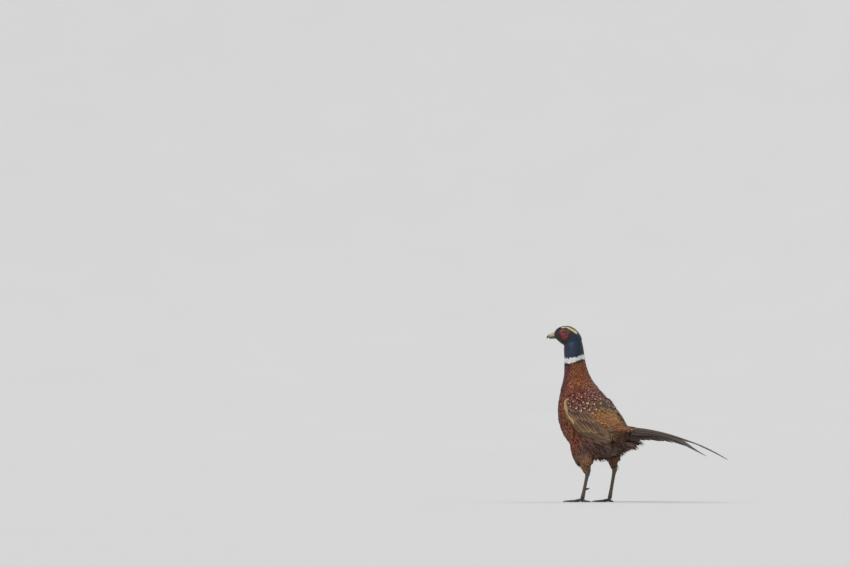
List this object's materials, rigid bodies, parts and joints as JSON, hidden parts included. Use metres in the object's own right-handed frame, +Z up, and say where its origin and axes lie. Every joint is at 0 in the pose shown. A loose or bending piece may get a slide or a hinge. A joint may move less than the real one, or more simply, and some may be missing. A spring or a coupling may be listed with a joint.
{
  "type": "life-size model of a common pheasant, cock",
  "caption": "Still life-size model of a cock ring-necked pheasant standing alert on both feet, head turned left, long pointed tail held out behind.",
  "frame": {"origin": "on the floor, under the middle of the bird's bounding box", "axes": "+Z up; +Y points from the breast back along the tail, so the bird faces -Y; +X is the bird's left side"},
  "size_m": [0.1424, 0.6316, 0.4054],
  "materials": {
    "head_plumage": "glossy dark green and blue feathers with a pale brow stripe",
    "neck_plumage": "copper feathers with dark edges below a white collar",
    "body_plumage": "maroon and orange feathers with pale crescents and dark spots",
    "wing_plumage": "brown wing feathers with pale buff edges",
    "thigh_plumage": "soft dark brown loose feathers",
    "tail_plumage": "olive brown tail feathers with dark bars",
    "bare_skin": "dull crimson skin with small bumps",
    "bill": "pale horn, satin",
    "eye": "wet dark eye with an amber ring",
    "leg_scale": "grey brown scales, satin",
    "claw": "dark horn, satin"
  },
  "bodies": {
    "root": {"head": "head_plumage", "neck": "neck_plumage", "trunk": "body_plumage", "bill_upper": "bill", "bill_lower": "bill", "tail_coverts_under": "thigh_plumage", "tail_coverts_upper": "body_plumage", "eye_left": "eye", "wattle_left": "bare_skin", "wing_left": "wing_plumage", "thigh_left": "thigh_plumage", "shank_left": "leg_scale", "spur_left": "claw", "toe_inner_left": "leg_scale", "claw_inner_left": "claw", "toe_middle_left": "leg_scale", "claw_middle_left": "claw", "toe_outer_left": "leg_scale", "claw_outer_left": "claw", "toe_hind_left": "leg_scale", "claw_hind_left": "claw", "tail_feather_1_left": "tail_plumage", "tail_feather_2_left": "tail_plumage", "tail_feather_3_left": "tail_plumage", "tail_feather_4_left": "tail_plumage", "tail_feather_5_left": "tail_plumage", "tail_feather_6_left": "tail_plumage", "tail_feather_7_left": "tail_plumage", "tail_feather_8_left": "tail_plumage", "tail_feather_9_left": "tail_plumage", "eye_right": "eye", "wattle_right": "bare_skin", "wing_right": "wing_plumage", "thigh_right": "thigh_plumage", "shank_right": "leg_scale", "spur_right": "claw", "toe_inner_right": "leg_scale", "claw_inner_right": "claw", "toe_middle_right": "leg_scale", "claw_middle_right": "claw", "toe_outer_right": "leg_scale", "claw_outer_right": "claw", "toe_hind_right": "leg_scale", "claw_hind_right": "claw", "tail_feather_1_right": "tail_plumage", "tail_feather_2_right": "tail_plumage", "tail_feather_3_right": "tail_plumage", "tail_feather_4_right": "tail_plumage", "tail_feather_5_right": "tail_plumage", "tail_feather_6_right": "tail_plumage", "tail_feather_7_right": "tail_plumage", "tail_feather_8_right": "tail_plumage", "tail_feather_9_right": "tail_plumage"}
  },
  "joints": []
}
